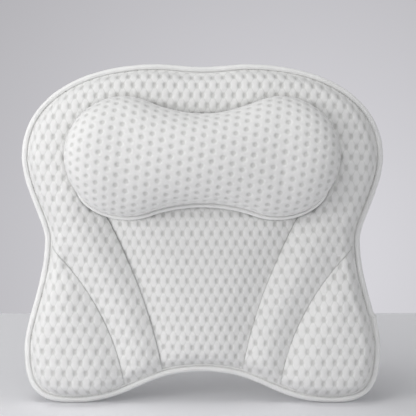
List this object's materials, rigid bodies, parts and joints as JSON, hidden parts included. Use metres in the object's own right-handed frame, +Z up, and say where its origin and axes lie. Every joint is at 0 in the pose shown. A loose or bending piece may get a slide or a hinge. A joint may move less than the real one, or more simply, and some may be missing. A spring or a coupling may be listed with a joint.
{
  "type": "bath pillow",
  "caption": "Butterfly-shaped quilted mesh bath pillow with a raised bone-shaped neck roll, bound edge and suction cups behind.",
  "frame": {"origin": "on the ground under the middle of the pillow's box as it stands leaning back", "axes": "+X to the right seen from the front, +Y from the front to the suction cups behind, +Z up"},
  "size_m": [0.398, 0.12, 0.3677],
  "materials": {
    "air_mesh": "white quilted polyester air mesh",
    "air_mesh_roll": "white polyester air mesh, grain turned across",
    "air_mesh_back": "white polyester air mesh, flat",
    "polyester_stuffing": "white fibre stuffing",
    "lining_cloth": "white lining cloth",
    "binding_tape": "white woven binding tape",
    "clear_vinyl": "clear soft vinyl",
    "white_plastic": "white moulded plastic"
  },
  "bodies": {
    "pillow": {"front_cover_arch": "air_mesh", "front_cover_centre": "air_mesh", "fill_arch": "polyester_stuffing", "fill_centre": "polyester_stuffing", "neck_roll_cover": "air_mesh_roll", "neck_roll_fill": "polyester_stuffing", "neck_roll_base": "lining_cloth", "fill_neck_bed": "polyester_stuffing", "back_panel": "air_mesh_back", "binding_top": "binding_tape", "binding_notch": "binding_tape", "cup_eyelet_top_left": "white_plastic", "cup_washer_top_left": "white_plastic", "cup_eyelet_top_right": "white_plastic", "cup_washer_top_right": "white_plastic", "cup_eyelet_middle_left": "white_plastic", "cup_washer_middle_left": "white_plastic", "cup_eyelet_middle_right": "white_plastic", "cup_washer_middle_right": "white_plastic"},
    "wing_left": {"front_cover_wing_left": "air_mesh", "fill_wing_left": "polyester_stuffing", "back_panel_wing_left": "air_mesh_back", "binding_wing_left": "binding_tape", "cup_eyelet_low_left": "white_plastic", "cup_washer_low_left": "white_plastic"},
    "wing_right": {"front_cover_wing_right": "air_mesh", "fill_wing_right": "polyester_stuffing", "back_panel_wing_right": "air_mesh_back", "binding_wing_right": "binding_tape", "cup_eyelet_low_right": "white_plastic", "cup_washer_low_right": "white_plastic"},
    "cup_top_left": {"suction_cup_top_left": "clear_vinyl"},
    "cup_top_right": {"suction_cup_top_right": "clear_vinyl"},
    "cup_middle_left": {"suction_cup_middle_left": "clear_vinyl"},
    "cup_middle_right": {"suction_cup_middle_right": "clear_vinyl"},
    "cup_low_left": {"suction_cup_low_left": "clear_vinyl"},
    "cup_low_right": {"suction_cup_low_right": "clear_vinyl"}
  },
  "joints": [
    {"name": "wing_left_flex", "type": "hinge", "parent": "pillow", "child": "wing_left", "pos_m": [-0.12104, -0.00353, 0.09727], "axis": [-0.4715, 0.138, 0.871], "range_deg": [-12, 25], "stiffness_Nm_per_rad": 1.2},
    {"name": "wing_right_flex", "type": "hinge", "parent": "pillow", "child": "wing_right", "pos_m": [0.12104, -0.00353, 0.09727], "axis": [-0.4715, -0.138, -0.871], "range_deg": [-12, 25], "stiffness_Nm_per_rad": 1.2},
    {"name": "cup_top_left_swivel", "type": "hinge", "parent": "pillow", "child": "cup_top_left", "pos_m": [-0.1, 0.0548, 0.28975], "axis": [0, 0.9877, -0.1564], "continuous": true},
    {"name": "cup_top_right_swivel", "type": "hinge", "parent": "pillow", "child": "cup_top_right", "pos_m": [0.1, 0.0548, 0.28975], "axis": [0, 0.9877, -0.1564], "continuous": true},
    {"name": "cup_middle_left_swivel", "type": "hinge", "parent": "pillow", "child": "cup_middle_left", "pos_m": [-0.132, 0.03821, 0.18505], "axis": [0, 0.9877, -0.1564], "continuous": true},
    {"name": "cup_middle_right_swivel", "type": "hinge", "parent": "pillow", "child": "cup_middle_right", "pos_m": [0.132, 0.03821, 0.18505], "axis": [0, 0.9877, -0.1564], "continuous": true},
    {"name": "cup_low_left_swivel", "type": "hinge", "parent": "wing_left", "child": "cup_low_left", "pos_m": [-0.138, 0.01407, 0.03259], "axis": [0, 0.9877, -0.1564], "continuous": true},
    {"name": "cup_low_right_swivel", "type": "hinge", "parent": "wing_right", "child": "cup_low_right", "pos_m": [0.138, 0.01407, 0.03259], "axis": [0, 0.9877, -0.1564], "continuous": true}
  ]
}
